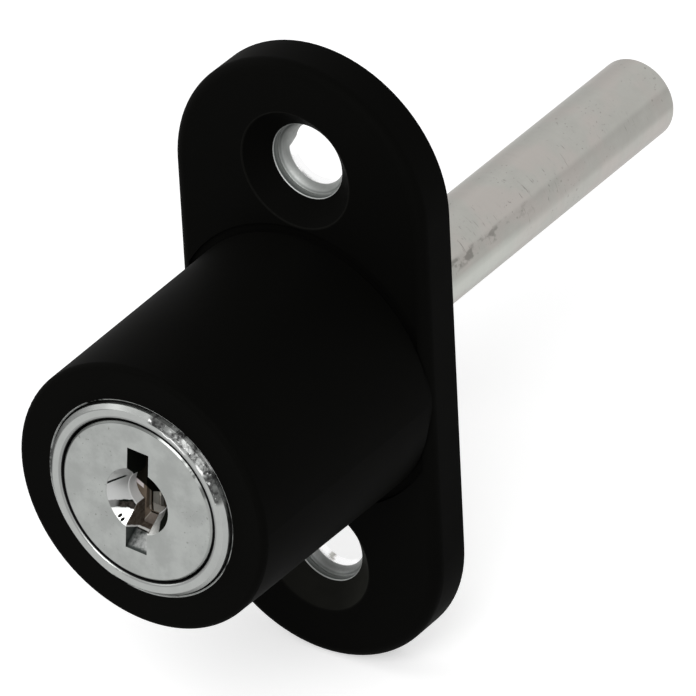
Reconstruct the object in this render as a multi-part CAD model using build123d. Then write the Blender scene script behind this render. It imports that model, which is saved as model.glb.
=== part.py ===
from build123d import *
import math
import os

# Push-in window lock, in millimetres.
# The lock's axis is Y. The key face looks towards -Y and the locking pin leaves towards +Y.
# The origin is on that axis in the mounting face, the flange's back, and +Z runs up the flange.
# The sleeve is shown pushed in, with the pin out as far as it goes.

# Cast housing: a flange and a slightly tapered round body
flange_width = 22.5
flange_length = 52.0
flange_thickness = 3.7
flange_edge_radius = 0.9
housing_length = 25.3
foot_diameter = 22.8
front_diameter = 22.2
rim_radius = 0.5
mouth_chamfer = 0.2
crease_depth = 0.25
crease_height = 0.3
foot_groove_reach = 0.6
foot_groove_depth = 0.35

# Steel plate let into the flange's back, and the screw holes
plate_width = 18.2
plate_length = 47.6
plate_thickness = 1.5
screw_spacing = 34.0
plate_screw_hole = 4.8
plate_hole_flare = 6.0
plate_hole_land = 0.5
flange_screw_hole = 6.2
countersink_diameter = 9.7
countersink_depth = 1.7

# Lock sleeve that slides in the housing
sleeve_diameter = 16.0
sleeve_proud = 0.5
sleeve_body_length = 17.8
sleeve_edge_chamfer = 0.3
sleeve_mouth_chamfer = 0.12
neck_diameter = 10.0
neck_gap = 1.7
stroke = 9.0
slide_clearance = 0.05

# Plug that the key turns
plug_head_diameter = 13.4
plug_head_length = 2.0
head_gap = 0.2
plug_diameter = 11.6
plug_length = 13.7
plug_face_chamfer = 0.12
turn_clearance = 0.05
end_clearance = 0.05
keyway_lean = 5.0
keyway_width = 1.9
keyway_height = 7.0
keyway_depth = 11.6
keyway_face_height = 9.0
keyway_lead_in = 1.3
key_pocket_diameter = 5.6
key_pocket_floor = 3.5
key_dish_depth = 1.5
key_pocket_depth = 2.4

# Brass wafers and their springs
wafer_count = 5
wafer_pitch = 1.9
wafer_thickness = 0.9
wafer_width = 4.6
wafer_travel = 0.7
wafer_clearance = 0.05
wafer_end_clearance = 0.08
wafer_groove_clearance = 0.25
window_width = 1.65
window_height = 6.4
window_offsets = (0.9, -0.2, 0.4, -0.4, 0.2)
lug_reach = 1.9
lug_height = 1.0
wafer_spring_offset = 3.5
wafer_spring_diameter = 1.36
wafer_spring_wire = 0.22
wafer_spring_length = 3.3
wafer_spring_turns = 4
spring_hole_clearance = 0.1
spring_end_gap = 0.04

# Pin that keeps the plug in the sleeve
retaining_pin_diameter = 1.2
retaining_pin_inset = 0.2
retaining_groove_depth = 0.8
retaining_land = 0.5
retaining_clearance = 0.05

# Latch that holds the sleeve in the housing, moved by a crank pin on the plug
crank_radius = 1.2
crank_pin_diameter = 1.6
crank_pin_length = 1.9
crank_slot_clearance = 0.1
latch_thickness = 2.1
latch_width = 6.0
latch_clearance = 0.05
latch_front_gap = 0.15
latch_nose_inset = 0.1
latch_tail = 3.4
latch_pocket_clearance = 0.15
latch_spring_diameter = 2.0
latch_spring_wire = 0.3
latch_spring_length = 3.8
latch_spring_turns = 4.5

# Guide pin in the housing and its slot in the sleeve, on the side away from the latch and the grooves
guide_pin_diameter = 2.0
guide_pin_place = 5.8
guide_pin_angle = 225.0
guide_slot_depth = 1.2
guide_clearance = 0.05
guide_tip_gap = 0.1
guide_pin_sink = 0.15

# Locking pin, its cross pin and the return spring round the sleeve's neck
bolt_diameter = 6.9
bolt_reach = 43.2
bolt_edge_radius = 0.45
bolt_clearance = 0.08
cross_pin_diameter = 2.0
cross_pin_length = 9.8
return_spring_diameter = 14.0
return_spring_wire = 0.8
return_spring_pitch = 1.24

# Places along the axis that follow from the sizes above
face_y = -(housing_length + sleeve_proud)
sleeve_back_y = face_y + sleeve_body_length
head_back_y = face_y + plug_head_length
plug_back_y = face_y + plug_length
bore_back_y = plug_back_y + end_clearance
wafer_slot = wafer_thickness + 2 * wafer_clearance
first_wafer_y = face_y + key_pocket_depth + wafer_slot / 2
wafer_places = [first_wafer_y + wafer_pitch * i for i in range(wafer_count)]
retaining_groove_width = retaining_pin_diameter + 2 * retaining_clearance
retaining_y = plug_back_y - retaining_land - retaining_groove_width / 2
retaining_z = plug_diameter / 2 - retaining_groove_depth + retaining_clearance * 2 + retaining_pin_diameter / 2
retaining_top = retaining_z + retaining_pin_diameter / 2
retaining_pin_length = 2 * (math.sqrt((sleeve_diameter / 2) ** 2 - retaining_top ** 2) - retaining_pin_inset)
latch_front_y = plug_back_y + latch_front_gap
latch_back_y = latch_front_y + latch_thickness
latch_channel_back_y = latch_back_y + latch_clearance
latch_middle_y = (latch_front_y + latch_back_y) / 2
crank_start = crank_radius * math.sin(math.radians(45))
latch_throw = 2 * crank_start
wafer_groove_reach = plug_diameter / 2 + wafer_travel + wafer_groove_clearance
guide_y = face_y + guide_pin_place
bore_radius = sleeve_diameter / 2 + slide_clearance
plate_front_y = -plate_thickness
neck_back_y = plate_front_y - neck_gap
cross_pin_y = (sleeve_back_y + neck_back_y) / 2
return_spring_length = plate_front_y - sleeve_back_y - 2 * spring_end_gap
return_spring_turns = math.floor(2 * (return_spring_length - return_spring_wire) / return_spring_pitch) / 2
with_keyway = Rot(0, keyway_lean, 0)


def ring_profile(*points):
    """Solid turned about the lock's axis from its half outline, given as (radius, y) points."""
    return revolve(make_face(Polyline(*points, close=True)), Axis.Y)


def prism(outline, front, back):
    """Outline drawn in X and Z, carried along the axis from front to back."""
    return extrude(Plane.XZ.offset(-back) * outline, back - front)


def round_bar(diameter, front, back):
    return prism(Circle(diameter / 2), front, back)


def block(x_low, x_high, y_low, y_high, z_low, z_high):
    size = (x_high - x_low, y_high - y_low, z_high - z_low)
    centre = ((x_high + x_low) / 2, (y_high + y_low) / 2, (z_high + z_low) / 2)
    return Pos(*centre) * Box(*size)


def cross_bar(diameter, length, y, z):
    """Round bar along X, centred on the Z axis."""
    return Pos(0, y, z) * Rot(0, 90, 0) * Cylinder(diameter / 2, length)


def upright_bar(diameter, x, y, z_low, z_high):
    """Round bar along Z."""
    return Pos(x, y, (z_low + z_high) / 2) * Cylinder(diameter / 2, z_high - z_low)


def radial_bar(diameter, angle, y, r_low, r_high):
    """Round bar that points away from the axis at an angle counted from +X towards +Z."""
    bar = Pos((r_low + r_high) / 2, y, 0) * Rot(0, 90, 0) * Cylinder(diameter / 2, r_high - r_low)
    return Rot(0, -angle, 0) * bar


def half_turn(start, end, start_way, end_way):
    """Two arcs that leave start along start_way, meet without a kink and reach end along end_way."""
    chord = end - start
    both = start_way + end_way
    a = 4 - both.dot(both)
    b = 2 * chord.dot(both)
    reach = (math.sqrt(b * b + 4 * a * chord.dot(chord)) - b) / (2 * a)
    near = start + start_way * reach
    far = end - end_way * reach
    meeting = (near + far) * 0.5
    return [
        Edge.make_tangent_arc(start, start_way, meeting),
        Edge.make_tangent_arc(meeting, far - near, end),
    ]


def coil(diameter, wire, length, turns):
    """Open-ended coil spring along +Z from z = 0, and the least gap between its turns."""
    radius = (diameter - wire) / 2
    rise = length - wire
    steps = round(turns * 2)
    climb = rise / (steps * math.pi)

    def place(turn):
        angle = turn * math.pi
        return Vector(radius * math.cos(angle), radius * math.sin(angle), wire / 2 + rise * turn / steps)

    def way(turn):
        angle = turn * math.pi
        return Vector(-radius * math.sin(angle), radius * math.cos(angle), climb).normalized()

    arcs = []
    for turn in range(steps):
        arcs += half_turn(place(turn), place(turn + 1), way(turn), way(turn + 1))
    path = Wire(arcs)
    section = Plane(origin=place(0), z_dir=way(0)) * Circle(wire / 2)
    return sweep(section, path=path), least_gap(arcs, wire)


def least_gap(arcs, wire):
    """Least distance between neighbouring turns, measured on points along the wire's middle."""
    samples = 8
    points = [arc.position_at(i / samples) for arc in arcs for i in range(samples)]
    a_turn = 4 * samples
    half = a_turn // 2
    gaps = [
        (points[i] - points[j]).length
        for i in range(len(points))
        for j in range(i + half, min(len(points), i + a_turn + half))
    ]
    return min(gaps) - wire


def make_housing():
    flange = prism(SlotOverall(flange_length, flange_width, rotation=90), -flange_thickness, 0)
    front_edges = flange.faces().sort_by(Axis.Y)[0].edges()
    flange = fillet(front_edges, flange_edge_radius) - foot_groove()
    foot = foot_diameter / 2
    front = front_diameter / 2
    crease_y = -flange_thickness - crease_height
    body = ring_profile(
        (0, -plate_thickness),
        (foot - crease_depth, -plate_thickness),
        (foot - crease_depth, -flange_thickness),
        (foot, crease_y),
        (front, -housing_length),
        (0, -housing_length),
    )
    rim = body.faces().sort_by(Axis.Y)[0].edges()
    body = fillet(rim, rim_radius)
    housing = flange + body
    bore = round_bar(2 * bore_radius, -housing_length, 0)
    mouth = ring_profile(
        (0, -housing_length),
        (bore_radius + mouth_chamfer, -housing_length),
        (bore_radius, -housing_length + mouth_chamfer),
        (0, -housing_length + mouth_chamfer),
    )
    recess = prism(SlotOverall(plate_length, plate_width, rotation=90), -plate_thickness, 0)
    housing = housing - bore - mouth - recess - screw_hole_cuts() - latch_pockets()
    housing -= radial_bar(guide_pin_diameter, guide_pin_angle, guide_y, 0, foot_diameter)
    return housing


def foot_groove():
    """Shallow groove in the flange round the body's foot. It ends where the flange's flat front face does."""
    disc = round_bar(foot_diameter + 2 * foot_groove_reach, -flange_thickness, foot_groove_depth - flange_thickness)
    flat_length = flange_length - 2 * flange_edge_radius
    flat_width = flange_width - 2 * flange_edge_radius
    flat = SlotOverall(flat_length, flat_width, rotation=90)
    return disc & prism(flat, -flange_thickness, foot_groove_depth - flange_thickness)


def screw_hole_cuts():
    """Countersunk holes above and below the round body."""
    cone = ring_profile(
        (0, -flange_thickness),
        (countersink_diameter / 2, -flange_thickness),
        (flange_screw_hole / 2, -flange_thickness + countersink_depth),
        (flange_screw_hole / 2, 0),
        (0, 0),
    )
    return [Pos(0, 0, side * screw_spacing / 2) * cone for side in (-1, 1)]


def latch_pockets():
    """Pockets in the housing's bore for the latch, with the sleeve pushed in and with it out."""
    half_width = latch_width / 2 + latch_pocket_clearance
    depth = sleeve_diameter / 2 - latch_nose_inset + latch_throw + latch_pocket_clearance
    pockets = []
    for moved in (0, stroke):
        front = latch_front_y - latch_pocket_clearance - moved
        back = latch_back_y + latch_pocket_clearance - moved
        pockets.append(block(-half_width, half_width, front, back, -depth, 0))
    return pockets


def make_back_plate():
    plate = prism(SlotOverall(plate_length, plate_width, rotation=90), -plate_thickness, 0)
    plate -= round_bar(bolt_diameter + 2 * bolt_clearance, -plate_thickness, 0)
    for side in (-1, 1):
        plate -= Pos(0, 0, side * screw_spacing / 2) * plate_hole()
    return plate


def plate_hole():
    """Hole whose front is drawn out to the flange's wider hole, with a straight end at the back."""
    flare = plate_hole_flare / 2
    waist = plate_screw_hole / 2
    land_y = -plate_hole_land
    side = [(flare, -plate_thickness), (waist, land_y), (waist, 0)]
    middle = (waist + (flare - waist) * 0.3, (land_y - plate_thickness) / 2)
    outline = Polyline((0, 0), (0, -plate_thickness), side[0]) + ThreePointArc(side[0], middle, side[1])
    outline += Polyline(side[1], side[2], (0, 0))
    return revolve(make_face(outline), Axis.Y)


def make_guide_pin():
    taper = (foot_diameter - front_diameter) / 2 / (housing_length - flange_thickness)
    surface = front_diameter / 2 + taper * (housing_length + guide_y)
    tip = sleeve_diameter / 2 - guide_slot_depth + guide_tip_gap
    return radial_bar(guide_pin_diameter, guide_pin_angle, guide_y, tip, surface - guide_pin_sink)


def make_lock_sleeve():
    outer = sleeve_diameter / 2
    head_bore = plug_head_diameter / 2 + head_gap
    plug_bore = plug_diameter / 2 + turn_clearance
    neck = neck_diameter / 2
    sleeve = ring_profile(
        (head_bore + sleeve_mouth_chamfer, face_y),
        (outer - sleeve_edge_chamfer, face_y),
        (outer, face_y + sleeve_edge_chamfer),
        (outer, sleeve_back_y),
        (neck, sleeve_back_y),
        (neck, neck_back_y),
        (bolt_diameter / 2, neck_back_y),
        (bolt_diameter / 2, sleeve_back_y),
        (0, sleeve_back_y),
        (0, bore_back_y),
        (plug_bore, bore_back_y),
        (plug_bore, head_back_y + end_clearance),
        (head_bore, head_back_y + end_clearance),
        (head_bore, face_y + sleeve_mouth_chamfer),
    )
    sleeve -= wafer_grooves()
    sleeve -= latch_channel()
    sleeve -= guide_slot()
    sleeve -= cross_bar(retaining_pin_diameter, sleeve_diameter, retaining_y, retaining_z)
    sleeve -= cross_bar(cross_pin_diameter, neck_diameter, cross_pin_y, 0)
    return sleeve


def wafer_grooves():
    """Four grooves that take the wafers' ends, with the key as it goes in or a quarter turn on."""
    half_width = wafer_width / 2 + 3 * wafer_clearance
    front = wafer_places[0] - wafer_slot / 2 - wafer_clearance
    back = wafer_places[-1] + wafer_slot / 2 + wafer_clearance
    reach = wafer_groove_reach
    upright = block(-half_width, half_width, front, back, -reach, reach)
    level = block(-reach, reach, front, back, -half_width, half_width)
    return [with_keyway * upright, with_keyway * level]


def latch_channel():
    """Straight channel across the sleeve for the latch, with the spring's hole above it."""
    half_width = latch_width / 2 + latch_clearance
    channel_top = latch_tail + spring_end_gap
    hole = latch_spring_diameter + 2 * spring_hole_clearance
    hole_top = latch_tail + latch_spring_length + 2 * spring_end_gap
    return [
        block(-half_width, half_width, bore_back_y, latch_channel_back_y, -sleeve_diameter / 2, channel_top),
        upright_bar(hole, 0, latch_middle_y, latch_tail, hole_top),
    ]


def guide_slot():
    """Closed slot along the sleeve. The guide pin stands at its front end while the sleeve is in."""
    width = guide_pin_diameter + 2 * guide_clearance
    floor = sleeve_diameter / 2 - guide_slot_depth
    middle = (floor + sleeve_diameter) / 2
    slot = Pos(middle, guide_y + stroke / 2, 0) * Box(sleeve_diameter - floor, stroke, width)
    ends = [
        radial_bar(width, guide_pin_angle, guide_y + moved, floor, sleeve_diameter)
        for moved in (0, stroke)
    ]
    return [Rot(0, -guide_pin_angle, 0) * slot] + ends


def make_plug():
    head = plug_head_diameter / 2
    barrel = plug_diameter / 2
    groove = barrel - retaining_groove_depth
    groove_front = retaining_y - retaining_groove_width / 2
    groove_back = retaining_y + retaining_groove_width / 2
    plug = ring_profile(
        (0, face_y),
        (head - plug_face_chamfer, face_y),
        (head, face_y + plug_face_chamfer),
        (head, head_back_y),
        (barrel, head_back_y),
        (barrel, groove_front),
        (groove, groove_front),
        (groove, groove_back),
        (barrel, groove_back),
        (barrel, plug_back_y),
        (0, plug_back_y),
    )
    plug -= with_keyway * keyway()
    plug -= key_pocket()
    for place in wafer_places:
        plug -= [with_keyway * cut for cut in wafer_slot_cuts(place)]
    crank = Pos(crank_start, 0, crank_start) * round_bar(
        crank_pin_diameter, plug_back_y, plug_back_y + crank_pin_length
    )
    return plug + crank


def keyway():
    """Slot for the key. It is higher at the face and slopes in to its own height, as a lead-in for the tip."""
    lead_in = make_face(Polyline(
        (face_y, keyway_face_height / 2),
        (face_y + keyway_lead_in, keyway_height / 2),
        (face_y + keyway_lead_in, -keyway_height / 2),
        (face_y, -keyway_face_height / 2),
        close=True,
    ))
    slot = prism(Rectangle(keyway_width, keyway_height), face_y, face_y + keyway_depth)
    return slot + extrude(Plane.YZ * lead_in, keyway_width / 2, both=True)


def key_pocket():
    """Round pocket over the slot: a dish with a short straight well under it."""
    rim = key_pocket_diameter / 2
    floor = key_pocket_floor / 2
    return ring_profile(
        (0, face_y),
        (rim, face_y),
        (floor, face_y + key_dish_depth),
        (floor, face_y + key_pocket_depth),
        (0, face_y + key_pocket_depth),
    )


def wafer_slot_cuts(place):
    """Slot through the plug for one wafer, with room for its lug and a hole for its spring."""
    front = place - wafer_slot / 2
    back = place + wafer_slot / 2
    half_width = wafer_width / 2 + wafer_clearance
    lug_end = wafer_width / 2 + lug_reach + wafer_clearance
    hole = wafer_spring_diameter + 2 * spring_hole_clearance
    hole_top = wafer_spring_length + 2 * spring_end_gap
    return [
        block(-half_width, half_width, front, back, -plug_diameter, plug_diameter),
        block(0, lug_end, front, back, -lug_height - wafer_travel - wafer_clearance, wafer_clearance),
        upright_bar(hole, wafer_spring_offset, place, 0, hole_top),
    ]


def make_wafer(place, offset):
    """Flat wafer with its window for the key and a lug at its side for the spring."""
    disc = Circle(plug_diameter / 2 - wafer_end_clearance)
    blade = disc & Rectangle(wafer_width, plug_diameter)
    window = Pos(0, offset) * Rectangle(window_width, window_height)
    lug = Pos(wafer_width / 2 + lug_reach / 2, -lug_height / 2) * Rectangle(lug_reach, lug_height)
    wafer = prism(blade - window + lug, place - wafer_thickness / 2, place + wafer_thickness / 2)
    return with_keyway * wafer


def make_latch():
    """Tongue with a round nose and a slot across it for the plug's crank pin."""
    half_width = latch_width / 2
    nose = sleeve_diameter / 2 - latch_nose_inset
    strip = Pos(0, (latch_tail - nose) / 2) * Rectangle(latch_width, latch_tail + nose)
    slot_width = crank_pin_diameter + 2 * crank_slot_clearance
    slot_end = crank_radius + slot_width / 2
    slot_start = crank_start - slot_width / 2
    slot = Pos((slot_start + slot_end) / 2, crank_start) * SlotOverall(slot_end - slot_start, slot_width)
    outline = (strip & Circle(nose)) - slot
    return prism(outline, latch_front_y, latch_back_y)


def make_bolt_pin():
    pin = round_bar(bolt_diameter, sleeve_back_y, bolt_reach)
    pin = fillet(pin.faces().sort_by(Axis.Y)[-1].edges(), bolt_edge_radius)
    return pin - cross_bar(cross_pin_diameter, neck_diameter, cross_pin_y, 0)


def make_return_spring():
    spring, gap = coil(
        return_spring_diameter, return_spring_wire, return_spring_length, return_spring_turns
    )
    print("return_spring: least gap between turns", round(gap, 3), "mm")
    return Pos(0, sleeve_back_y + spring_end_gap, 0) * Rot(-90, 0, 0) * spring


def make_latch_spring():
    spring, gap = coil(latch_spring_diameter, latch_spring_wire, latch_spring_length, latch_spring_turns)
    print("latch_spring: least gap between turns", round(gap, 3), "mm")
    return Pos(0, latch_middle_y, latch_tail + spring_end_gap) * spring


def make_wafer_spring(place):
    spring, gap = coil(wafer_spring_diameter, wafer_spring_wire, wafer_spring_length, wafer_spring_turns)
    print("wafer spring: least gap between turns", round(gap, 3), "mm")
    return with_keyway * Pos(wafer_spring_offset, place, spring_end_gap) * spring


pieces = {
    "housing": make_housing(),
    "back_plate": make_back_plate(),
    "guide_pin": make_guide_pin(),
    "lock_sleeve": make_lock_sleeve(),
    "plug_retaining_pin": cross_bar(retaining_pin_diameter, retaining_pin_length, retaining_y, retaining_z),
    "bolt_pin": make_bolt_pin(),
    "cross_pin": cross_bar(cross_pin_diameter, cross_pin_length, cross_pin_y, 0),
    "return_spring": make_return_spring(),
    "plug": make_plug(),
    "latch": make_latch(),
    "latch_spring": make_latch_spring(),
}
for number, (place, offset) in enumerate(zip(wafer_places, window_offsets), start=1):
    pieces[f"wafer_{number}"] = make_wafer(place, offset)
    pieces[f"wafer_spring_{number}"] = make_wafer_spring(place)

os.makedirs("parts", exist_ok=True)
for name, piece in pieces.items():
    export_step(piece, f"parts/{name}.step")
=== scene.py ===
# %% [markdown]
# # A push-in window lock, dressed for its portrait
# The lock is an upright oval flange with a black round body. A bright sleeve with a keyed plug sits in the
# body's front, and a long steel pin leaves its back. The packed model holds every piece at its real size,
# so this lesson is about surfaces: a black coat, several metals that differ in finish, and coil springs.

# %% Load the packed pieces
import math

import bpy
import numpy as np
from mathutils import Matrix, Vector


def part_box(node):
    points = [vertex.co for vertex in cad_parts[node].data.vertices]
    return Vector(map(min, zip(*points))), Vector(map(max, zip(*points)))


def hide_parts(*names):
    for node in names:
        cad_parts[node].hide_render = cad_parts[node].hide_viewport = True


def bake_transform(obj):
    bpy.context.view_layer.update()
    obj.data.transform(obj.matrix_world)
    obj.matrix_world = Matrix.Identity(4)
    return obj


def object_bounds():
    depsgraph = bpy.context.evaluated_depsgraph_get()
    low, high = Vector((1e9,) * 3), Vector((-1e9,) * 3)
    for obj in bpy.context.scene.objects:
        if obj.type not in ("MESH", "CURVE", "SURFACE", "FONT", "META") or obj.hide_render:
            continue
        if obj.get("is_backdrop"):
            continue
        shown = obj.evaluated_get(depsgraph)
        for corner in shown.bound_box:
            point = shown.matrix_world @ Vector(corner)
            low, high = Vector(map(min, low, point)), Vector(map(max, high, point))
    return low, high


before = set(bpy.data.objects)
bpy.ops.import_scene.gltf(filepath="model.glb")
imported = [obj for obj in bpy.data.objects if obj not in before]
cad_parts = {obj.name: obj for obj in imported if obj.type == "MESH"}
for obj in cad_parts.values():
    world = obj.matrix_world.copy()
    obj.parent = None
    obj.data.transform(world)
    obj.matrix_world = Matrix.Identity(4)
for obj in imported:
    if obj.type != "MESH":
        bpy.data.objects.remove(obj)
MM = 0.001
cad_low, cad_high = (np.array(corner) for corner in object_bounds())
print("the lock spans", np.round((cad_high - cad_low) / MM, 1), "mm")

# %% [markdown]
# ## The camera
# The photograph looks at the lock from its right and from above, through a long lens. A camera can be
# placed with location and rotation typed in, but here its three axes are built from the angles that a
# photographer would name: how far round, how far up, and how much the camera was tipped.

# %% Camera at the photograph's viewing angle
ROUND = math.radians(35.63)
UP = math.radians(31.39)
TIPPED = math.radians(-3.02)
DISTANCE = 657.9 * MM
FOCAL_LENGTH = 449.05
SENSOR = 36.0
AIM_RIGHT = 1.128 * MM
AIM_DOWN = 0.358 * MM
SEES_UP_TO = 10.0

away = np.array([math.sin(ROUND) * math.cos(UP), -math.cos(ROUND) * math.cos(UP), math.sin(UP)])
level = np.array([math.cos(ROUND), math.sin(ROUND), 0.0])
upright = np.cross(away, level)
right = level * math.cos(TIPPED) + upright * math.sin(TIPPED)
top = np.cross(away, right)

camera = bpy.data.objects.new("camera", bpy.data.cameras.new("camera"))
bpy.context.collection.objects.link(camera)
camera.data.lens = FOCAL_LENGTH
camera.data.sensor_width = SENSOR
camera.data.clip_end = SEES_UP_TO
turned = np.eye(4)
turned[:3, 0] = right
turned[:3, 1] = top
turned[:3, 2] = away
turned[:3, 3] = away * DISTANCE + right * AIM_RIGHT - top * AIM_DOWN
camera.matrix_world = turned.T
bpy.context.scene.camera = camera
print("camera", round(DISTANCE / MM), "mm from the lock")

# %% [markdown]
# ## Shader sums written as sums
# A mark on a surface, such as a stain or a worn edge, needs a mask: a number that is 1 on the mark and 0
# off it. A mask could be painted, but this lesson uses no pictures, so it is worked out by Math nodes. Rows
# of Math nodes are hard to read, and `1 - mask` isn't. The small class below wraps one socket, and each
# operator on it adds the Math node that it stands for.

# %% A socket that can be added, multiplied and compared
class Signal:
    """A number that changes over the surface. Operators add Math nodes behind it."""

    def __init__(self, nodes, socket):
        self.nodes = nodes
        self.socket = socket

    def math(self, operation, *others):
        values = dict(enumerate((self, *others)))
        return self.nodes.node("ShaderNodeMath", {"operation": operation}, values)

    def __add__(self, other):
        return self.math("ADD", other)

    def __mul__(self, other):
        return self.math("MULTIPLY", other)

    def __sub__(self, other):
        return self.math("SUBTRACT", other)

    def __rsub__(self, other):
        return self.math("MULTIPLY", -1.0).math("ADD", other)

    def __or__(self, other):
        """The greater of two masks, so that overlapping marks don't add up."""
        return self.math("MAXIMUM", other)

    __radd__ = __add__
    __rmul__ = __mul__

    def capped(self):
        """The same mask, but never more than 1."""
        return self.math("MINIMUM", 1.0)

    def off(self, value):
        """Distance from value, on either side of it."""
        return (self - value).math("ABSOLUTE")

    def diagonal(self, other):
        """Longest side of the right-angled triangle whose short sides are self and other."""
        return (self * self + other * other).math("SQRT")

    def rise(self, low, high):
        """0 below low and 1 above high, with a smooth step between."""
        settings = {"interpolation_type": "SMOOTHSTEP"}
        return self.nodes.node("ShaderNodeMapRange", settings, {0: self, 1: low, 2: high})

    def fall(self, low, high):
        """1 below low and 0 above high, with a smooth step between."""
        return 1 - self.rise(low, high)

    def band(self, middle, half, soft):
        """1 within half of middle, and 0 where soft more has been left behind."""
        return self.off(middle).fall(half, half + soft)


print("a signal offers", ", ".join(name for name in vars(Signal) if not name.startswith("_")))

# %% [markdown]
# Colours can't go through Math nodes, which turn them grey, so they have a Mix node of their own. A finish
# is then built as paint is: a ground colour first, and each mark laid over what is there.

# %% A node tree that is filled by calls
class Nodes:
    """A node tree. node() adds any node and returns one of its outputs."""

    def __init__(self, tree):
        self.tree = tree

    def node(self, kind, settings, values, output=0):
        made = self.tree.nodes.new(kind)
        for key, value in settings.items():
            setattr(made, key, value)
        for key, value in values.items():
            self.plug_in(made.inputs[key], value)
        return Signal(self, made.outputs[output])

    def plug_in(self, socket, value):
        if isinstance(value, Signal):
            self.tree.links.new(value.socket, socket)
        else:
            socket.default_value = value

    def mix(self, mask, under, over):
        """One colour laid over another where mask is 1. Either may be a plain colour or another mix."""
        under, over = ((*c, 1.0) if isinstance(c, tuple) else c for c in (under, over))
        return self.node("ShaderNodeMix", {"data_type": "RGBA"}, {"Factor": mask, 6: under, 7: over}, 2)

    def layers(self, look, *marks):
        """Pairs of a mask and a colour, each laid over all that came before it."""
        for mask, colour in marks:
            look = self.mix(mask, look, colour)
        return look


kinds = [name for name in dir(bpy.types) if name.startswith("ShaderNode")]
print("a material can use", len(kinds), "kinds of node")

# %% [markdown]
# Every mark on the lock has a place, and the lock's drawing gives places in millimetres. So a finish reads
# Object coordinates, which stay with the piece when it moves, and turns them into millimetres once. The
# keyway leans a few degrees, so the marks round it are laid out on coordinates that lean with it.

# %% A material, and the places that its marks are laid out by, in millimetres
HOLE_PLACE = 17.0
KEY_LEAN = math.radians(5.0)


class Finish(Nodes):
    """A material with one Principled shader. Its places and sizes are in millimetres."""

    def __init__(self, name):
        self.material = bpy.data.materials.new(name)
        self.material.use_nodes = True
        super().__init__(self.material.node_tree)
        self.shader = self.tree.nodes["Principled BSDF"]
        metres = self.node("ShaderNodeTexCoord", {}, {}, "Object")
        self.place = self.node("ShaderNodeVectorMath", {"operation": "SCALE"}, {0: metres, "Scale": 1 / MM})
        self.x, self.y, self.z = (
            self.node("ShaderNodeSeparateXYZ", {}, {0: self.place}, axis) for axis in ("X", "Y", "Z")
        )

    def set(self, **values):
        """Sets the shader's own sockets. An underscore in a name stands for a space."""
        for key, value in values.items():
            self.plug_in(self.shader.inputs[key.replace("_", " ")], value)

    def from_axis(self):
        """Distance from the lock's axis."""
        return self.x.diagonal(self.z)

    def from_hole(self):
        """Distance from the axis of the nearer screw hole."""
        return self.z.off(0.0).off(HOLE_PLACE).diagonal(self.x)

    def along_key(self):
        """Sideways and upright distances from the axis, measured square to the leaning keyway."""
        sideways = self.x * math.cos(KEY_LEAN) - self.z * math.sin(KEY_LEAN)
        return sideways, self.x * math.sin(KEY_LEAN) + self.z * math.cos(KEY_LEAN)

    def arc(self, start, end, soft=4):
        """1 between two angles round the lock's axis, in degrees from +X towards +Z."""
        start, end, soft = (math.radians(value) for value in (start, end, soft))
        angle = self.z.math("ARCTAN2", self.x)
        return angle.rise(start - soft, start) * angle.fall(end, end + soft)

    def noise(self, size, stretch=(1, 1, 1), detail=3.0, rough=0.5):
        """Soft noise from 0 to 1 whose patches are about size across, drawn out by stretch."""
        scale = [1 / (size * s) for s in stretch]
        place = self.node("ShaderNodeMapping", {}, {"Vector": self.place, "Scale": scale})
        return self.node(
            "ShaderNodeTexNoise", {}, {"Vector": place, "Scale": 1.0, "Detail": detail, "Roughness": rough}
        )

    def wander(self, size, by):
        """Noise about 0, which moves a line by up to half of by, to either side."""
        return (self.noise(size) - 0.5) * by

    def bump(self, height, depth):
        """Normal of a surface that rises by depth where the height signal goes from 0 to 1."""
        return self.node("ShaderNodeBump", {}, {"Height": height, "Distance": depth * MM, "Strength": 1.0})


def dress(finish, *nodes):
    for node in nodes:
        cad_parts[node].data.materials.clear()
        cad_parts[node].data.materials.append(finish.material)
    print(finish.material.name, "on", ", ".join(nodes) or "new pieces")


print("the screw holes are", HOLE_PLACE, "mm from the axis")
print("the keyway leans", round(math.degrees(KEY_LEAN)), "degrees from upright")

# %% [markdown]
# ## The black coat
# The casting is coated in satin black. A black that is one plain colour looks like a hole in the picture.
# Such a coat has a fine pebbled skin, its gloss drifts, and it wears through to bright metal on sharp
# edges. The lower countersink is paler, and a thin painted highlight runs round each countersink's edge.
# The coat ends inside the screw holes, where the zinc shows, with painted shade on the zinc near the coat's
# end. All these places are round, so they are found by the distance from an axis and the distance along it.

# %% Where the coat is worn, paler, painted with a highlight or shade, or missing
BORE_RADIUS = 8.05
HOLE_RADIUS = 3.1
HOLE_EDGE = -2.0
SINK_RADIUS = 4.85
FLANGE_FRONT = -3.7
FRONT = float(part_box("housing")[0][1]) / MM

coat = Finish("black_coat")
pebble = coat.noise(size=0.22, detail=2.0)
drift = coat.noise(size=6)
patchy = coat.noise(size=1.3).rise(0.38, 0.52)
from_hole = coat.from_hole()

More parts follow.
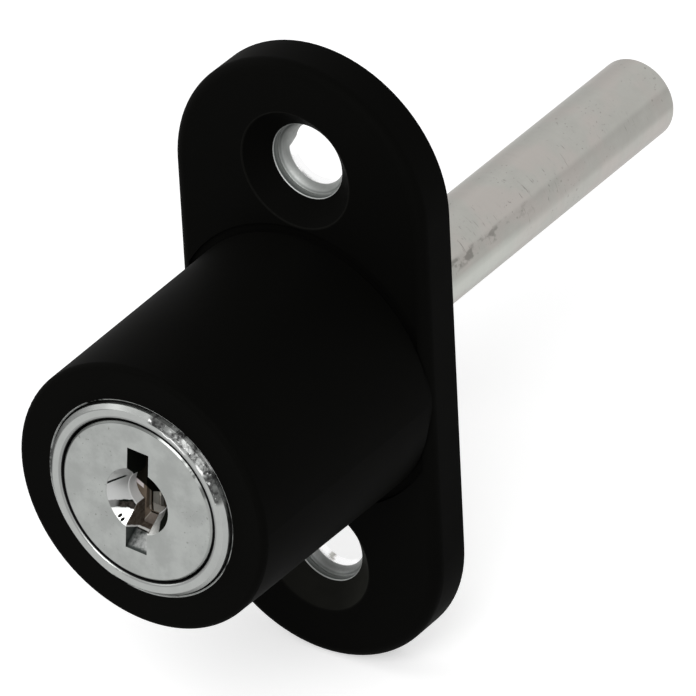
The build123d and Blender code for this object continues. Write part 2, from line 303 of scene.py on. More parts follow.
at_mouth = coat.from_axis().band(middle=BORE_RADIUS + 0.12, half=0.07, soft=0.05)
at_mouth = at_mouth * coat.y.band(middle=FRONT, half=0.06, soft=0.05)
at_hole = from_hole.band(middle=HOLE_RADIUS, half=0.05, soft=0.04)
at_hole = at_hole * coat.y.band(middle=HOLE_EDGE, half=0.03, soft=0.03)
# A thin painted highlight round the edge of each countersink.
at_sink = from_hole.band(middle=SINK_RADIUS, half=0.05, soft=0.05)
at_sink = at_sink * coat.y.rise(FLANGE_FRONT - 0.02, FLANGE_FRONT)
worn = at_mouth * patchy | at_hole
bare = coat.y.rise(HOLE_EDGE, HOLE_EDGE + 0.05) * from_hole.fall(HOLE_RADIUS + 0.02, HOLE_RADIUS + 0.05)
# The lower countersink is paler.
paler_low_sink = from_hole.fall(SINK_RADIUS - 0.06, SINK_RADIUS) * coat.z.fall(-0.1, 0.0)
print("the coat ends", -HOLE_EDGE, "mm in front of the mounting face, in both screw holes")

# %% Satin black coat
COAT_BLACK = (0.0026, 0.0026, 0.0023)
COAT_PALER = (0.030, 0.030, 0.026)
COAT_EDGE_HIGHLIGHT = (0.009, 0.009, 0.008)
ZINC_PAINTED_SHADE = (0.10, 0.11, 0.105)
ZINC_INNER = (0.30, 0.31, 0.30)
WORN_METAL = (0.45, 0.46, 0.45)

# Painted shade on the bare zinc near the coat's end, lighter further into the hole.
zinc = coat.mix(coat.y.rise(HOLE_EDGE + 0.05, HOLE_EDGE + 0.7), ZINC_PAINTED_SHADE, ZINC_INNER)
coat.set(
    Base_Color=coat.layers(
        COAT_BLACK,
        (paler_low_sink * drift, COAT_PALER),
        (at_sink * drift, COAT_EDGE_HIGHLIGHT),
        (bare, zinc),
        (worn, WORN_METAL),
    ),
    Metallic=worn | bare,
    Roughness=0.55 + drift * 0.14,
    Specular_IOR_Level=0.01,
    Normal=coat.bump(pebble, depth=0.004),
)
dress(coat, "housing")

# %% [markdown]
# ## The ring
# The ring is the front of the plated sleeve. Its flat face is dull from handling, and its outer edge is
# rubbed and dented on one side only, so that bright and nearly black flecks lie side by side. Dents could
# be modelled, but they are smaller than a tenth of a millimetre, so patches of colour do: painted light and
# painted shade of the dents, painted glints and a few painted highlights. Parts of the outer and inner
# chamfers get painted shade, and the inside of the ring is painted near black, as shade in the gap round the
# plug.

# %% Where the ring is rubbed, or painted with highlights or shade
RUB_RADIUS = 7.42
RUB_DEPTH = 0.85
EDGE_RADIUS = 7.66
SLEEVE_WALL = 7.92
MOUTH_RADIUS = 7.05
GAP_RADIUS = 6.96
FACE = float(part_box("lock_sleeve")[0][1]) / MM

ring = Finish("plated_sleeve")
depth = ring.y - FACE
radius = ring.from_axis()
dents = ring.noise(size=0.55, detail=4.0, rough=0.65)
uneven = radius + ring.wander(size=0.6, by=0.5)

front = depth.fall(RUB_DEPTH, RUB_DEPTH + 0.1)
# Painted shade on the ring's outer edge, over the upper left.
at_edge = radius.rise(EDGE_RADIUS - 0.05, EDGE_RADIUS) * front * ring.arc(112, 172, soft=14)
rubbed = radius.rise(RUB_RADIUS, RUB_RADIUS + 0.06) * front * ring.arc(18, 76)
dark_ends = ring.arc(67, 78) + ring.arc(14, 31)
# Painted highlights: a blob and a spot near the edge, a line on the lip and a line on the face.
knock_highlight = ring.arc(36, 40, soft=3) * uneven.band(middle=7.54, half=0.07, soft=0.06)
spot = ring.arc(77, 78, soft=1) * uneven.band(middle=7.68, half=0.03, soft=0.06)
lip = ring.arc(36, 44, soft=3) * radius.rise(SLEEVE_WALL - 0.06, SLEEVE_WALL) * depth.rise(0.54, 0.60)
line = ring.arc(54, 66, soft=6) * uneven.band(middle=7.30, half=0.02, soft=0.05) * depth.fall(0.0, 0.1)
painted_highlights = (knock_highlight + spot + lip + line).capped()
# The bore inside the ring is painted near black, as shade in the gap round the plug.
bore_shade = radius.fall(GAP_RADIUS - 0.02, GAP_RADIUS + 0.02) * depth.rise(0.04, 0.10)
# Painted shade on the ring's inner chamfer, left off in broken patches at the lower left, where the lamp's
# highlight shows.
gleam = ring.arc(-128, -102) * dents.rise(0.40, 0.46)
at_mouth = radius.band(middle=MOUTH_RADIUS, half=0.06, soft=0.04) * (1 - gleam)
print("the ring's face is", round(-FACE, 1), "mm in front of the mounting face")

# %% Plated ring with a rubbed edge
PLATING_DULL = (0.30, 0.31, 0.30)
PLATING_CLEAN = (0.38, 0.39, 0.38)
EDGE_PAINTED_SHADE = (0.19, 0.195, 0.19)
MOUTH_PAINTED_SHADE = (0.24, 0.245, 0.24)
DENT_PAINTED_SHADE = (0.03, 0.03, 0.03)
DENT_PAINTED_LIGHT = (0.42, 0.43, 0.42)
DENT_ENDS_PAINTED_SHADE = (0.15, 0.155, 0.15)
PAINTED_GLINT = (0.62, 0.63, 0.62)
PAINTED_HIGHLIGHT = (0.95, 0.95, 0.94)
BORE_PAINTED_SHADE = (0.006, 0.006, 0.006)

marks = ring.noise(size=0.9, detail=5.0, rough=0.65)
grain = ring.noise(size=0.12, detail=2.0)
# The rubbed zone is real wear. Its dark and light flecks are painted shade and painted light of dents,
# dimmer at both ends, with painted glints.
painted_glints = ring.noise(size=0.35, detail=2.0).rise(0.66, 0.72)
painted_dent_light = ring.mix(dark_ends, DENT_PAINTED_LIGHT, DENT_ENDS_PAINTED_SHADE)
wear_with_painted_flecks = ring.layers(DENT_PAINTED_SHADE, (dents.rise(0.34, 0.64), painted_dent_light), (painted_glints, PAINTED_GLINT))
ring.set(
    Base_Color=ring.layers(
        ring.mix(marks, PLATING_DULL, PLATING_CLEAN),
        (at_edge, EDGE_PAINTED_SHADE),
        (at_mouth, MOUTH_PAINTED_SHADE),
        (rubbed, wear_with_painted_flecks),
        (painted_highlights, PAINTED_HIGHLIGHT),
        (bore_shade, BORE_PAINTED_SHADE),
    ),
    Metallic=1 - (bore_shade | rubbed * 0.75),
    Roughness=0.30 + marks * 0.12 + bore_shade * 0.3,
    Specular_IOR_Level=0.1,
    Normal=ring.bump(grain, depth=0.002),
)
dress(ring, "lock_sleeve")

# %% [markdown]
# ## The plug
# The plug's face is satin plated. Keys have slid into its round dish and its slot for years. The dish has
# painted reflections: a white patch, a brown band with a black top, a dark line and two dark dots. Its left
# side is painted lit and its right side painted shaded, with a painted dark crescent, and its well is
# painted light. The slot's lower ramp is blotched, everything further in above a sinking line is painted
# shade, and the deepest parts are painted light. One noise over the whole plug would lose all that, so each
# mark has its own mask, cut out of the dish or the slot by a slanting line.

# %% Places on the plug
DISH_RADIUS = 2.83
SLOT_HALF = 1.0
SLOT_FOOT = -4.5
INNER_RADIUS = 4.75
WELL_DEPTH = 1.38
FAR_DEPTH = 3.3

keyed = Finish("satin_plug")
depth = keyed.y - FACE
radius = keyed.from_axis()
key_x, key_z = keyed.along_key()
inside = depth.rise(0.02, 0.05) * radius.fall(INNER_RADIUS, INNER_RADIUS + 0.05)
in_slot = inside * key_x.off(0.0).fall(SLOT_HALF, SLOT_HALF + 0.03)
in_dish = (inside - in_slot) * radius.fall(DISH_RADIUS, DISH_RADIUS + 0.03)
in_well = in_dish * depth.rise(WELL_DEPTH, WELL_DEPTH + 0.1)
# Deep inside, the plug is painted pale, as painted light.
far = inside * depth.rise(FAR_DEPTH, FAR_DEPTH + 0.1)
print("the masks of the dish and the slot are", DISH_RADIUS * 2, "and", SLOT_HALF * 2, "mm wide")

# %% Painted reflections and shade in the dish
BROWN_BAND_SLOPE = 0.3
DARK_LINE_SLOPE = -0.36
DOT_SIZE = 0.10

brown_band_line = keyed.z + keyed.x * BROWN_BAND_SLOPE
dark_line_place = keyed.z + keyed.x * DARK_LINE_SLOPE
crescent_line = radius + keyed.z.math("ARCTAN2", keyed.x)
ragged = keyed.wander(size=0.5, by=0.25)
left = keyed.x.fall(-1.2, -1.0)

# Painted reflections in the dish: a white patch, a brown band with a black top edge, and a dark line.
white_reflection = in_dish * left * (brown_band_line + ragged * 0.4).fall(-2.05, -1.99)
brown_reflection = in_dish * left * (brown_band_line + ragged).band(middle=-1.74, half=0.20, soft=0.06)
brown_reflection = brown_reflection * (0.62 + keyed.x.rise(-2.35, -2.05) * 0.38) * (1 - in_well)
brown_band_top = brown_reflection * (brown_band_line + ragged).rise(-1.66, -1.58) * keyed.x.rise(-2.2, -2.1)
dark_reflection_line = in_dish * (dark_line_place + ragged * 0.3).band(middle=1.77, half=0.08, soft=0.05)
dark_reflection_line = dark_reflection_line * keyed.x.fall(-1.75, -1.5)
# Painted shade: a dark crescent at the dish's right.
shaded = in_dish * keyed.arc(-48, 25) * crescent_line.rise(1.32, 1.40)


def dot(sideways, height):
    """Small round painted dark reflection at one place in the dish: 1 where the distance from that place is
    small.
    """
    from_place = (keyed.x - sideways).diagonal(keyed.z - height)
    return in_dish * from_place.fall(DOT_SIZE, DOT_SIZE + 0.04)


dots = dot(-1.82, -1.90) + dot(-1.58, -2.14)
# Of these, the stain, the scratch and the dots are painted reflections, and the crescent is painted shade.
print("the dish has a stain, a scratch, a crescent and two dots of", DOT_SIZE * 2, "mm")

# %% [markdown]
# Painted shade fills the keyway above a line that sinks as it runs inwards. The same line crosses the plug
# and the brass wafers behind it, so one function gives it for both.

# %% Marks in the slot
SHADE_LINE = 0.62
SHADE_SLOPE = 0.6
LIP_LINE = -2.58
LIP_SLOPE = 0.58


def under_shade_line(upright_place, depth):
    """1 where the upright place plus a share of the depth is above the line of painted shade."""
    return (upright_place + depth * SHADE_SLOPE).rise(SHADE_LINE, SHADE_LINE + 0.10)


lip_line = key_z + depth * LIP_SLOPE + ragged * 0.5 - LIP_LINE
on_ramp = in_slot * lip_line.fall(-0.02, 0.02)
# A pale line along the lip of the slot's lower ramp.
on_lip = in_slot * lip_line.band(middle=0.02, half=0.05, soft=0.06)
ramp_edge = key_z.rise(SLOT_FOOT + 0.10, SLOT_FOOT + 0.25) * key_x.rise(-1.0, -0.6)
# Painted shade in the keyway above the sinking line.
deep_shade = inside * under_shade_line(key_z, depth) * (key_x.off(0.0) - depth * 0.23).fall(0.98, 1.06)
print("the slot's foot is", -SLOT_FOOT, "mm below the axis")

# %% Satin plug, with its marks laid over each other
SATIN_DULL = (0.285, 0.295, 0.285)
SATIN_CLEAN = (0.35, 0.362, 0.35)
SPECK = (0.10, 0.10, 0.09)
RIM_PAINTED_SHADE = (0.12, 0.125, 0.12)
RIM_LIGHT = (0.27, 0.28, 0.27)
DISH_LIT = (0.485, 0.49, 0.485)
DISH_SHADED = (0.27, 0.27, 0.26)
WELL_PAINTED_LIGHT = (0.62, 0.62, 0.61)
PAINTED_WHITE_REFLECTION = (0.93, 0.94, 0.92)
BROWN_REFLECTION_DARK = (0.008, 0.007, 0.006)
BROWN_REFLECTION_LIGHT = (0.055, 0.048, 0.042)
SLOT_DARK = (0.05, 0.038, 0.03)
SLOT_LIGHT = (0.12, 0.10, 0.08)
FAR_PAINTED_LIGHT = (0.80, 0.78, 0.71)
RAMP_DARK = (0.035, 0.04, 0.038)
RAMP_LIGHT = (0.42, 0.43, 0.42)
PALE_LIP = (0.80, 0.80, 0.78)
PAINTED_DARK_COLOUR = (0.0065, 0.0075, 0.0060)

clouds = keyed.noise(size=2.2, detail=4.0, rough=0.6)
specks = keyed.noise(size=0.25, detail=2.0).rise(0.66, 0.72) * keyed.noise(size=3).rise(0.48, 0.6)
fine = keyed.noise(size=0.10, detail=2.0)
speckle = keyed.noise(size=0.45, detail=4.0, rough=0.7).rise(0.36, 0.66)
blotches = keyed.noise(size=0.9, detail=5.0, rough=0.65).rise(0.32, 0.66)
# The plug's chamfer gets painted shade, lighter at the lower right, and is left off where the lamp's
# highlight shows: fully from 51 to 67 degrees and in patches from 30 to 44.
shining = keyed.arc(51, 67) + keyed.arc(30, 44) * clouds.rise(0.44, 0.50)
shaded_rim = radius.rise(6.5, 6.56) * (1 - shining)
# Painted black for the dark reflections in the dish, the crescent and the keyway's painted shade.
painted_dark = (dark_reflection_line + shaded + brown_band_top + dots | deep_shade).capped()
dull = in_slot * (1 - on_ramp) | painted_dark | brown_reflection | in_well | on_lip
# The dish is painted lit on its left and painted shaded on its right, and its deep well is painted light.
dish = keyed.mix(keyed.x.rise(0.0, 0.5), DISH_LIT, DISH_SHADED)
keyed.set(
    Base_Color=keyed.layers(
        keyed.mix(clouds.rise(0.34, 0.66), SATIN_DULL, SATIN_CLEAN),
        (specks * 0.5, SPECK),
        (shaded_rim, keyed.mix(keyed.arc(-60, 18), RIM_PAINTED_SHADE, RIM_LIGHT)),
        (in_dish, keyed.mix(in_well, dish, WELL_PAINTED_LIGHT)),
        (white_reflection, PAINTED_WHITE_REFLECTION),
        (brown_reflection, keyed.mix(speckle, BROWN_REFLECTION_DARK, BROWN_REFLECTION_LIGHT)),
        (in_slot, keyed.mix(speckle, SLOT_DARK, SLOT_LIGHT)),
        (far, FAR_PAINTED_LIGHT),
        (on_ramp, keyed.mix(blotches * ramp_edge, RAMP_DARK, RAMP_LIGHT)),
        (on_lip, PALE_LIP),
        (painted_dark, PAINTED_DARK_COLOUR),
    ),
    Metallic=1 - dull,
    Roughness=0.34 + clouds * 0.10,
    Specular_IOR_Level=0.0,
    Normal=keyed.bump(fine, depth=0.002),
)
dress(keyed, "plug")

# %% [markdown]
# ## The pin
# The pin is ground steel. Grinding leaves marks that run round it, so the noise is drawn out round the pin
# and kept short along it, which a plain noise wouldn't show. A dark streak runs the pin's length on its
# lower side, with scratches across it. The streak is a painted reflection, painted shade darkens both long
# edges, and a painted highlight runs beside the lower edge. Their places are told by how far to one side of
# the pin a point lies.

# %% Painted streak, edge shade and highlight, and scratches on the pin
PIN_RADIUS = 3.45
STREAK_SIDE = (-0.723, 0.691)

ground = Finish("ground_pin")
side = (ground.x * STREAK_SIDE[0] + ground.z * STREAK_SIDE[1]) * (1 / PIN_RADIUS)
round_marks = ground.noise(size=0.35, stretch=(6, 1, 6), detail=4.0)
long_marks = ground.noise(size=0.8, stretch=(1, 5, 1))
# A painted dark reflection streak along the pin, painted shade towards both long edges, and a painted
# highlight band beside the lower edge.
reflection_streak = side.band(middle=-0.47, half=0.15, soft=0.16) * (0.65 + long_marks * 0.5)
edge_shade = side.rise(0.55, 1.0) + side.fall(-1.0, -0.82) * 0.5
pale = side.band(middle=-0.78, half=0.12, soft=0.10) * ground.y.fall(16, 27)
scratches = ground.noise(size=0.16, stretch=(9, 1, 9), detail=2.0).rise(0.63, 0.70)
scratches = scratches * ground.noise(size=1.8, detail=2.0).rise(0.50, 0.62)
scratches = scratches * side.band(middle=-0.15, half=0.35, soft=0.25)
smudges = ground.noise(size=0.7, stretch=(1, 1.6, 1)).rise(0.50, 0.64)
smudges = smudges * side.band(middle=-0.36, half=0.08, soft=0.10) * ground.y.fall(15, 26)
# The scratches and smudges are real. The streak and the edges add painted shade to the same darkening.
dull = reflection_streak * 0.28 + edge_shade * 0.36 + (scratches | smudges) * 0.55
print("the pin is", PIN_RADIUS * 2, "mm across")

# %% Ground pin with a painted dark streak and painted shade
STEEL_DARK = (0.375, 0.37, 0.345)
STEEL_LIGHT = (0.455, 0.45, 0.42)
STEEL_WARM = (0.445, 0.415, 0.39)
STEEL_SPECK = (0.17, 0.16, 0.145)
STEEL_PAINTED_HIGHLIGHT = (0.50, 0.515, 0.48)
STEEL_DULL_AND_SHADE = (0.16, 0.155, 0.14)

scuffs = ground.noise(size=1.6, detail=6.0, rough=0.65)
tint = ground.noise(size=4).rise(0.42, 0.60)
specks = ground.noise(size=0.28, detail=2.0).rise(0.64, 0.70) * ground.noise(size=2.5).rise(0.45, 0.60)
ground.set(
    Base_Color=ground.layers(
        ground.mix(scuffs, STEEL_DARK, STEEL_LIGHT),
        (tint * 0.8, STEEL_WARM),
        (specks * 0.5, STEEL_SPECK),
        (pale * 0.7, STEEL_PAINTED_HIGHLIGHT),
        (dull, STEEL_DULL_AND_SHADE),
    ),
    Metallic=1.0,
    Roughness=0.38 + round_marks * 0.12,
    Normal=ground.bump(round_marks, depth=0.004),
)
dress(ground, "bolt_pin")

# %% [markdown]
# ## Small pins and the latch
# These pieces are plain steel and cast zinc, and all but the guide pin's end is hidden inside the lock. Each
# could have a finish of its own, but that would never be seen, so one short recipe serves them all: a metal
# colour that drifts a little, and a skin with a fine grain. The coil springs use it too.

# %% One recipe for the inner metals
def inner_metal(name, dark, light, rough, nodes):
    """Metal whose colour drifts from dark to light with its tarnish, and whose skin has a fine grain."""
    finish = Finish(name)
    tarnish = finish.noise(size=0.8, detail=4.0)
    skin = finish.noise(size=0.15, detail=2.0)
    finish.set(
        Base_Color=finish.mix(tarnish, dark, light),
        Metallic=1.0,
        Roughness=rough + tarnish * 0.12,
        Normal=finish.bump(skin, depth=0.003),
    )
    dress(finish, *nodes)
    return finish


SMALL_PINS = ["guide_pin", "cross_pin", "plug_retaining_pin"]
inner_metal("small_pins", dark=(0.35, 0.35, 0.34), light=(0.45, 0.45, 0.44), rough=0.35, nodes=SMALL_PINS)
inner_metal("cast_latch", dark=(0.32, 0.32, 0.32), light=(0.42, 0.42, 0.42), rough=0.45, nodes=["latch"])

# %% [markdown]
# ## The back plate
# The steel plate shows as a soft grey rim down each screw hole. Punching a hole burnishes the last part of
# its wall. That could be left to the light, but only a wall that is nearly a mirror shows the white ground
# as the photograph does, so that part gets a low roughness and a near-white colour, a painted reflection of
# the white ground, on one side of each hole only. The front of each hole's wall gets painted shade, and the
# plate's face stays dull.

# %% Steel plate with burnished holes
PLATE_HOLE = 2.9
BURNISHED_FROM = -0.82
PLATE_DULL = (0.29, 0.30, 0.29)
PLATE_CLEAN = (0.39, 0.40, 0.39)
PLATE_PATCH = (0.22, 0.225, 0.225)
RIM_SHADE = (0.08, 0.09, 0.085)
BURNISHED_PAINTED_WHITE = (0.97, 0.97, 0.97)
GREY_END = 1.6
GREY_SLOPE_ACROSS = -0.5
GREY_SLOPE_INWARD = -0.65

plate = Finish("bare_plate")
in_hole = plate.from_hole().fall(PLATE_HOLE, PLATE_HOLE + 0.15)
grey_line = plate.z + plate.x * GREY_SLOPE_ACROSS + plate.y * GREY_SLOPE_INWARD - HOLE_PLACE
# A near-white colour paints the reflection of the white ground on the burnished wall, on one side of each
# hole.
burnished = in_hole * plate.y.rise(BURNISHED_FROM, BURNISHED_FROM + 0.08)
burnished = burnished * grey_line.fall(GREY_END, GREY_END + 0.2)
# Painted shade on the front of each hole's wall.
shaded_rim = in_hole * plate.y.fall(-1.42, -1.30)
tarnish = plate.noise(size=0.8, detail=4.0)
rolled = plate.noise(size=0.12, stretch=(1, 1, 30))
patches = plate.noise(size=3.5).rise(0.42, 0.62)
plate.set(
    Base_Color=plate.layers(
        plate.mix(tarnish, PLATE_DULL, PLATE_CLEAN),
        (patches * rolled * 0.5, PLATE_PATCH),
        (shaded_rim * 0.6, RIM_SHADE),
        (burnished, BURNISHED_PAINTED_WHITE),
    ),
    Metallic=1.0,
    Roughness=0.46 + rolled * 0.20 - burnished * 0.38,
    Normal=plate.bump(rolled * (1 - burnished), depth=0.004),
)
dress(plate, "back_plate")

# %% [markdown]
# ## The wafers
# Only the first two brass wafers show, through the keyway. The face of the first is brown and its window's
# edge is paler, with a black line of painted shade behind it. Towards the top, painted shade hides
# everything, and what shows deeper through the window is painted pale, as painted light. Clean metal would
# mirror the dark keyway and go black, so the brass is mostly matt.

# %% Where the wafers are pale, lined or in painted shade
WAFERS = [f"wafer_{number}" for number in range(1, 6)]
FIRST_FACE = 2.50
FACE_FOOT = -2.40
RIDGE_LINE = -1.83
RIDGE_SLOPE = 1.6
EDGE_SLOPE = 1.28
SLANT_ACROSS = 0.42
SLANT_INWARD = 1.2

brass = Finish("stamped_brass")
depth = brass.y - FACE
key_x, key_z = brass.along_key()
on_face = depth.fall(FIRST_FACE, FIRST_FACE + 0.04)
in_window = 1 - on_face
ridge_line = key_z - key_x * RIDGE_SLOPE - RIDGE_LINE
along_edge = depth + key_x * EDGE_SLOPE
slant_line = key_z + key_x * SLANT_ACROSS + depth * SLANT_INWARD

below = on_face * key_z.fall(FACE_FOOT - 0.06, FACE_FOOT) * ridge_line.fall(-0.04, 0.04)
ridge = ridge_line.band(middle=0.0, half=0.05, soft=0.05) * key_z.fall(FACE_FOOT - 0.08, FACE_FOOT - 0.02)
pale = on_face * ridge | in_window * along_edge.band(middle=1.89, half=0.06, soft=0.05)
# What shows deeper through the window is painted pale, lighter towards the top, as painted light.
behind = in_window * along_edge.rise(2.24, 2.30)
edge_line = in_window * along_edge.band(middle=2.17, half=0.07, soft=0.03)
foot_line = on_face * key_z.band(middle=FACE_FOOT, half=0.06, soft=0.03) * key_x.rise(-0.42, -0.36)
# Painted shade: dark lines at the window's edge and the face's foot, the part right of the keyway, and the
# deepest parts.
line = edge_line | foot_line | key_x.rise(0.82, 0.88) | depth.rise(4.7, 4.8)
# Painted shade towards the top.
shaded_top = under_shade_line(key_z, depth) * slant_line.rise(2.22, 2.32)
spot = on_face * slant_line.band(middle=2.08, half=0.17, soft=0.06) * key_x.fall(-1.15, -1.05)
print("the first wafer's face is", FIRST_FACE, "mm behind the ring's")

# %% Brass wafers with painted shade and painted light
BRASS_DARK = (0.10, 0.076, 0.056)
BRASS_LIGHT = (0.22, 0.175, 0.135)
BELOW_DARK = (0.14, 0.11, 0.09)
BELOW_LIGHT = (0.30, 0.265, 0.235)
BEHIND_PAINTED_LIGHT_LOW = (0.44, 0.42, 0.38)
BEHIND_PAINTED_LIGHT_HIGH = (0.80, 0.78, 0.71)
PALE_EDGE = (0.36, 0.335, 0.29)
PINK_SPOT = (0.66, 0.60, 0.60)
BROWN_PAINTED_SHADE = (0.008, 0.007, 0.005)

tarnish = brass.noise(size=0.5, detail=4.0, rough=0.6)
brass.set(
    Base_Color=brass.layers(
        brass.mix(tarnish, BRASS_DARK, BRASS_LIGHT),
        (below, brass.mix(tarnish, BELOW_DARK, BELOW_LIGHT)),
        (behind, brass.mix(key_z.rise(-2.29, -2.27), BEHIND_PAINTED_LIGHT_LOW, BEHIND_PAINTED_LIGHT_HIGH)),
        (pale, PALE_EDGE),
        (spot, PINK_SPOT),
        (shaded_top | line, BROWN_PAINTED_SHADE),
    ),
    Metallic=0.2,
    Roughness=0.42 + tarnish * 0.12,
    Specular_IOR_Level=0.0,
    Normal=brass.bump(tarnish, depth=0.003),
)
dress(brass, *WAFERS)

# %% [markdown]
# ## Coil springs
# The packed springs are rigid, and real ones stretch. Here each is hidden and a coil of wire is built in its
# place. A coil could be a curve with a round bevel, but here it is a mesh whose points are worked out. A
# coil
# is a small circle carried along a helix. The helix is a formula, so the whole tube is worked out in one go:
# every point is the helix plus the wire's radius times two directions that stand square to it.

# %% A tube along a helix
SIDES = 12
STEPS_A_TURN = 48


def helix(start, first, along, radius, wire, length, turns):
    """Path of the wire's middle, and the direction from the axis out to it, a row for each step.
    A point is start plus radius times a direction that turns from first, plus a rise in step with it."""
    second = np.cross(along, first)
    turn = np.linspace(0, 2 * math.pi * turns, round(STEPS_A_TURN * turns) + 1)[:, None]
    outward = np.cos(turn) * first + np.sin(turn) * second
    rise = wire / 2 + (length - wire) * turn / turn[-1]
    return np.array(start) + radius * outward + rise * along, outward


def tube(name, path, outward, wire):
    """Mesh of a wire: each point is a path's point, plus half the wire times a direction round the path.
    That direction turns from outward to the direction square to both outward and the path."""
    onward = np.gradient(path, axis=0)
    onward /= np.linalg.norm(onward, axis=1, keepdims=True)
    sideways = np.cross(onward, outward)
    angle = np.linspace(0, 2 * math.pi, SIDES, endpoint=False)[None, :, None]
    around = np.cos(angle) * outward[:, None] + np.sin(angle) * sideways[:, None]
    points = path[:, None] + wire / 2 * around
    rows = len(path)
    index = np.arange(rows * SIDES).reshape(rows, SIDES)
    beside = np.roll(index, -1, axis=1)
    walls = np.stack([index[:-1], index[1:], beside[1:], beside[:-1]], axis=-1).reshape(-1, 4)
    caps = [index[0].tolist(), index[-1][::-1].tolist()]
    mesh = bpy.data.meshes.new(name)
    mesh.from_pydata(points.reshape(-1, 3).tolist(), [], walls.tolist() + caps)
    mesh.polygons.foreach_set("use_smooth", [True] * len(walls) + [False] * len(caps))
    piece = bpy.data.objects.new(name, mesh)
    bpy.context.collection.objects.link(piece)
    return piece


print("a turn of wire has", STEPS_A_TURN * SIDES, "faces")

# %% The springs of the sleeve and the latch
WIRE_DARK = (0.25, 0.25, 0.25)
WIRE_LIGHT = (0.36, 0.36, 0.36)
ACROSS, ALONG, UPWARD = np.eye(3)

wire_finish = inner_metal("spring_wire", WIRE_DARK, WIRE_LIGHT, rough=0.3, nodes=[])


def spring(node, start, first, along, radius, wire, length, turns):
    """Coil in the place of a packed spring, which is hidden."""
    path, outward = helix(start, first, along, radius, wire, length, turns)
    piece = tube(f"{node}_wire", path, outward, wire)
    piece.data.materials.append(wire_finish.material)
    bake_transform(piece)
    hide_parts(node)
    print(piece.name, "is", round(length / MM, 1), "mm long")


def upright_spring(node, along, wire, turns):
    """Spring whose axis is one of the model's own, so that the packed spring's box gives its size."""
    low, high = (np.array(corner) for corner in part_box(node))
    middle = (low + high) / 2
    start = middle + along * (low - middle)
    radius = (high[0] - low[0] - wire) / 2
    spring(node, start, ACROSS, along, radius, wire, float(along @ (high - low)), turns)


upright_spring("return_spring", ALONG, wire=0.8 * MM, turns=4.5)
upright_spring("latch_spring", UPWARD, wire=0.3 * MM, turns=4.5)

# %% [markdown]
# The wafers and their springs lean with the keyway, so a box doesn't give their size. Their axis is worked
# out from the lean, and only their place along the lock is read from the packed model.

# %% The springs of the wafers
BESIDE_KEYWAY = 3.5 * MM
SPRING_FOOT = 0.04 * MM
SPRING_HEAD = 3.34 * MM
SPRING_WIDTH = 1.36 * MM
WAFER_WIRE = 0.22 * MM
WAFER_TURNS = 4

key_up = np.array([math.sin(KEY_LEAN), 0.0, math.cos(KEY_LEAN)])
key_side = np.array([math.cos(KEY_LEAN), 0.0, -math.sin(KEY_LEAN)])
radius = (SPRING_WIDTH - WAFER_WIRE) / 2
length = SPRING_HEAD - SPRING_FOOT
for wafer in WAFERS:
    node = wafer.replace("wafer", "wafer_spring")
    low, high = (np.array(corner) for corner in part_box(node))
    start = ALONG * (low + high) / 2 + key_side * BESIDE_KEYWAY + key_up * SPRING_FOOT
    spring(node, start, key_side, key_up, radius, WAFER_WIRE, length, WAFER_TURNS)

# %% [markdown]
# ## Floor and light
# The photograph has a plain white ground. More light on the floor would make it white, but would bleach the
# lock too. So the floor is a pale surface that adds a little white of its own where the camera or a
# reflection looks straight at it. It reads as white, keeps a soft shadow, and lights nothing.

# %% A pale floor
FLOOR_HALF = 1.5
FLOOR_GREY = (0.86, 0.86, 0.86, 1.0)
NO_GLOW = (0.0, 0.0, 0.0)
NEAR_GLOW = (0.50, 0.50, 0.50)
FAR_GLOW = (0.75, 0.75, 0.75)
NEAR, FAR = 120, 600

floor_height = float(cad_low[2])
corners = [(x, y, floor_height) for x, y in ((-1, -1), (1, -1), (1, 1), (-1, 1))]
corners = [(x * FLOOR_HALF, y * FLOOR_HALF, z) for x, y, z in corners]
floor_mesh = bpy.data.meshes.new("floor")
floor_mesh.from_pydata(corners, [], [(0, 1, 2, 3)])
floor = bpy.data.objects.new("floor", floor_mesh)
bpy.context.collection.objects.link(floor)
floor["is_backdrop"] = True


def looked_at(nodes):
    """1 for rays from the camera or by way of a mirror or glass, and 0 for light that falls on things."""
    rays = ("Is Camera Ray", "Is Glossy Ray", "Is Transmission Ray")
    seen, mirrored, through = (nodes.node("ShaderNodeLightPath", {}, {}, ray) for ray in rays)
    return seen | mirrored | through


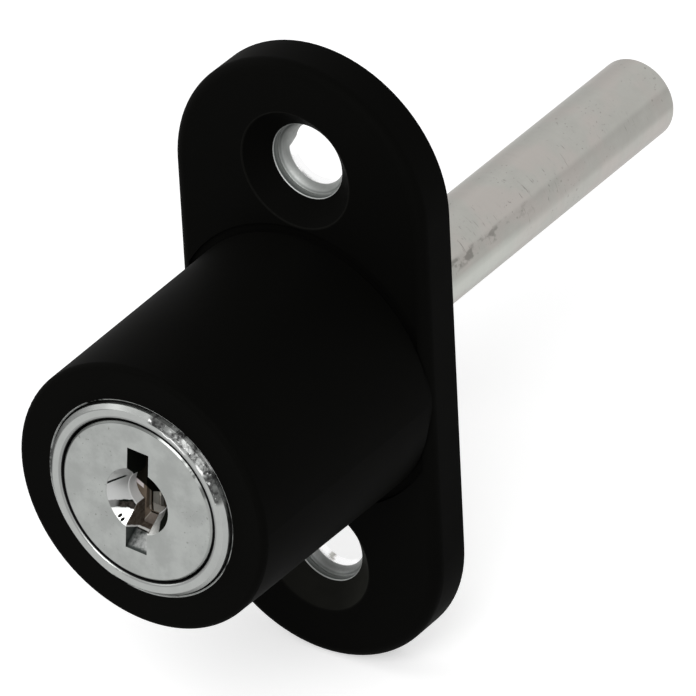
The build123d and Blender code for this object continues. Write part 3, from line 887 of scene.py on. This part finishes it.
paper = Finish("pale_floor")
glow = paper.mix(paper.x.diagonal(paper.y).rise(NEAR, FAR), NEAR_GLOW, FAR_GLOW)
paper.set(
    Base_Color=FLOOR_GREY,
    Roughness=0.9,
    Specular_IOR_Level=0.0,
    Emission_Color=paper.mix(looked_at(paper), NO_GLOW, glow),
    Emission_Strength=1.0,
)
floor_mesh.materials.append(paper.material)
print("the floor is", FLOOR_HALF * 2, "m wide,", round(-floor_height / MM), "mm below the lock's axis")

# %% [markdown]
# Two large square lamps stand for the softboxes of a studio: a strong one in front and above, and a weak
# one from the left that opens the shadows. Small lamps would leave hard shadows and pinpoint glints on the
# metal. The surround gives an even grey light, and looks white to the camera and in reflections.

# %% Soft lamps and an even surround
LAMP_SIZE = 0.5
SURROUND_LIGHT = (0.35, 0.35, 0.35)
SURROUND_WHITE = (1.0, 1.0, 1.0)


def softbox(name, place, power):
    """Square lamp that faces the lock: its back points from the origin to its place."""
    lamp = bpy.data.objects.new(name, bpy.data.lights.new(name, "AREA"))
    lamp.data.energy = power
    lamp.data.size = LAMP_SIZE
    back = np.array(place) / np.linalg.norm(place)
    side = np.cross((0, 0, 1), back)
    side /= np.linalg.norm(side)
    axes = np.eye(4)
    axes[:3, 0] = side
    axes[:3, 1] = np.cross(back, side)
    axes[:3, 2] = back
    axes[:3, 3] = place
    lamp.matrix_world = axes.T
    bpy.context.collection.objects.link(lamp)
    print(name, "gives", power, "W from", round(float(np.linalg.norm(place)), 2), "m")


softbox("key_lamp", place=(0.28, -0.66, 0.62), power=5.0)
softbox("fill_lamp", place=(-0.75, -0.2, 0.45), power=2.0)

world = bpy.data.worlds.new("surround")
world.use_nodes = True
surround = Nodes(world.node_tree)
sky = world.node_tree.nodes["Background"]
surround.plug_in(sky.inputs["Color"], surround.mix(looked_at(surround), SURROUND_LIGHT, SURROUND_WHITE))
sky.inputs["Strength"].default_value = 1.0
bpy.context.scene.world = world
bpy.context.scene.view_settings.view_transform = "Standard"

# %% [markdown]
